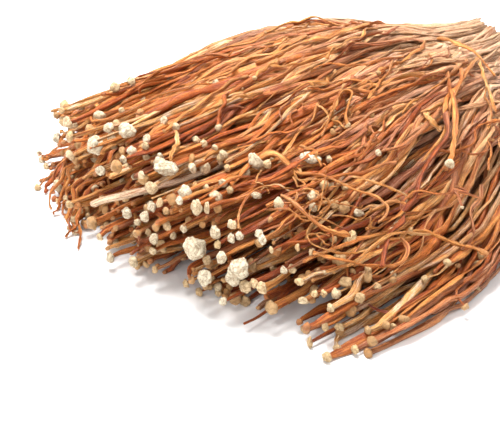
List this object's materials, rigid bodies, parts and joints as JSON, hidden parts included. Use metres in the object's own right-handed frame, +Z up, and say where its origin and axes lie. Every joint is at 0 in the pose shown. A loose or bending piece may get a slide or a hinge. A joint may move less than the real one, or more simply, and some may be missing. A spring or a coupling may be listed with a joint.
{
  "type": "dried enoki mushroom bunch",
  "caption": "Bunch of dried enoki mushrooms lying flat: slim amber stems stuck together at the cut feet fan out to small cream caps, with thin loose mushrooms over them.",
  "frame": {"origin": "on the surface that the bunch rests on, under the middle of its bounding box", "axes": "+Z up from the surface; +X towards the cut feet, with the caps towards -X; +Y towards the higher side of the heap"},
  "size_m": [0.1589, 0.1529, 0.0499],
  "materials": {
    "lower_clumps": "semi-matt shrivelled stems, darker brown, with cream caps",
    "upper_clumps": "semi-matt shrivelled amber stems with cream caps",
    "loose_mushrooms": "semi-matt, paler and thinner than the others"
  },
  "bodies": {
    "root": {"clump_lower_1": "lower_clumps", "clump_lower_2": "lower_clumps", "clump_lower_3": "lower_clumps", "clump_lower_4": "lower_clumps", "clump_lower_5": "lower_clumps", "clump_upper_1": "upper_clumps", "clump_upper_2": "upper_clumps", "clump_upper_3": "upper_clumps", "clump_upper_4": "upper_clumps", "loose_mushroom_1": "loose_mushrooms", "loose_mushroom_2": "loose_mushrooms", "loose_mushroom_3": "loose_mushrooms", "loose_mushroom_4": "loose_mushrooms", "loose_mushroom_5": "loose_mushrooms", "loose_mushroom_6": "loose_mushrooms"}
  },
  "joints": []
}
